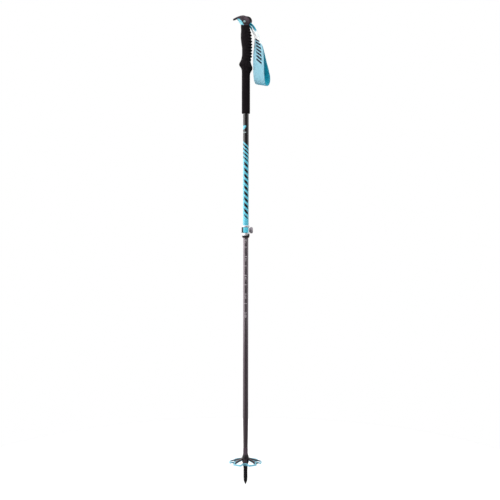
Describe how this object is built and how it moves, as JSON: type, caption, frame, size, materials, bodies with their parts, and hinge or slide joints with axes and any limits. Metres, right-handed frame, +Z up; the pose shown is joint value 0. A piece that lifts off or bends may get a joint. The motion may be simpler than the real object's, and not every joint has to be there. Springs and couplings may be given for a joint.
{
  "type": "ski pole",
  "caption": "Two-section adjustable ski touring pole with hooked grip head, long foam grip, wrist strap, lever clamp, petal basket and steel tip.",
  "frame": {"origin": "the point of the steel tip, on the axis of the tubes", "axes": "+Z up along the tubes towards the grip, -X towards the beak of the head, +X towards the strap, -Y is the side that the lever's free end lies on"},
  "size_m": [0.1079, 0.086, 1.248],
  "materials": {
    "hardened_steel": "dark hardened steel, ground to a point",
    "ferrule_plastic": "black moulded plastic, fine satin",
    "basket_dark": "dark stiff plastic, satin",
    "basket_rim_soft": "light blue soft plastic",
    "anodised_tube": "dark anodised aluminium with a printed length scale",
    "natural_plastic": "natural white plastic",
    "painted_tube": "anthracite and turquoise lacquer, glossy",
    "grip_foam": "black closed-cell foam",
    "head_plastic": "dark moulded plastic, fine texture",
    "throat_plastic": "turquoise soft-touch plastic",
    "steel_pin": "bright steel",
    "pin_cap": "pale turquoise-grey plastic",
    "wedge_plastic": "black plastic",
    "webbing": "light blue woven webbing, teal on its inner face",
    "collar_aluminium": "bright machined aluminium",
    "bushing_plastic": "black plastic",
    "brass_washer": "plain brass",
    "lever_dark": "black glass-filled plastic",
    "lever_turquoise": "turquoise anodised cover",
    "nut_grey": "grey anodised aluminium, fluted"
  },
  "bodies": {
    "upper_section": {"upper_tube": "painted_tube", "tube_top_plug": "natural_plastic", "grip_foam": "grip_foam", "grip_head": "head_plastic", "throat_insert": "throat_plastic", "strap_pin": "steel_pin", "strap_pin_caps": "pin_cap", "clamp_collar": "collar_aluminium", "clamp_bushing": "bushing_plastic", "tension_bolt": "steel_pin", "lever_pin": "steel_pin", "cam_washer": "brass_washer"},
    "lower_section": {"steel_tip": "hardened_steel", "tip_ferrule": "ferrule_plastic", "lower_tube": "anodised_tube", "guide_plug": "natural_plastic"},
    "basket": {"basket_hub": "basket_dark", "basket_rim": "basket_rim_soft"},
    "lock_lever": {"lever_body": "lever_dark", "lever_cover": "lever_turquoise"},
    "nut_washer": {"thrust_washer": "steel_pin"},
    "thumb_nut": {"thumb_nut": "nut_grey"},
    "strap_wedge": {"strap_wedge": "wedge_plastic"},
    "wrist_strap": {"wrist_strap": "webbing"}
  },
  "joints": [
    {"name": "length_slide", "type": "slide", "parent": "upper_section", "child": "lower_section", "axis": [0, 0, -1], "range_m": [-0.2, 0.2]},
    {"name": "basket_twist", "type": "hinge", "parent": "lower_section", "child": "basket", "pos_m": [0, 0, 0.068], "axis": [0, 0, 1], "range_deg": [0, 90]},
    {"name": "lever_open", "type": "hinge", "parent": "upper_section", "child": "lock_lever", "pos_m": [-0.0065, 0.014, 0.677], "axis": [0, 0, -1], "range_deg": [0, 150]},
    {"name": "nut_travel", "type": "slide", "parent": "upper_section", "child": "nut_washer", "axis": [1, 0, 0], "range_m": [0, 0.00165]},
    {"name": "nut_turn", "type": "hinge", "parent": "nut_washer", "child": "thumb_nut", "pos_m": [0.012, 0.014, 0.677], "axis": [1, 0, 0], "range_deg": [0, 720]},
    {"name": "wedge_lift", "type": "slide", "parent": "upper_section", "child": "strap_wedge", "axis": [0.6, 0, 0.8], "range_m": [0, 0.006]},
    {"name": "strap_swing", "type": "hinge", "parent": "upper_section", "child": "wrist_strap", "pos_m": [0.0115, 0, 1.2225], "axis": [0, -1, 0], "range_deg": [0, 60]}
  ],
  "couplings": [
    {"joint": "nut_travel", "follows": "nut_turn", "m_per_rad": 0.00012732}
  ]
}
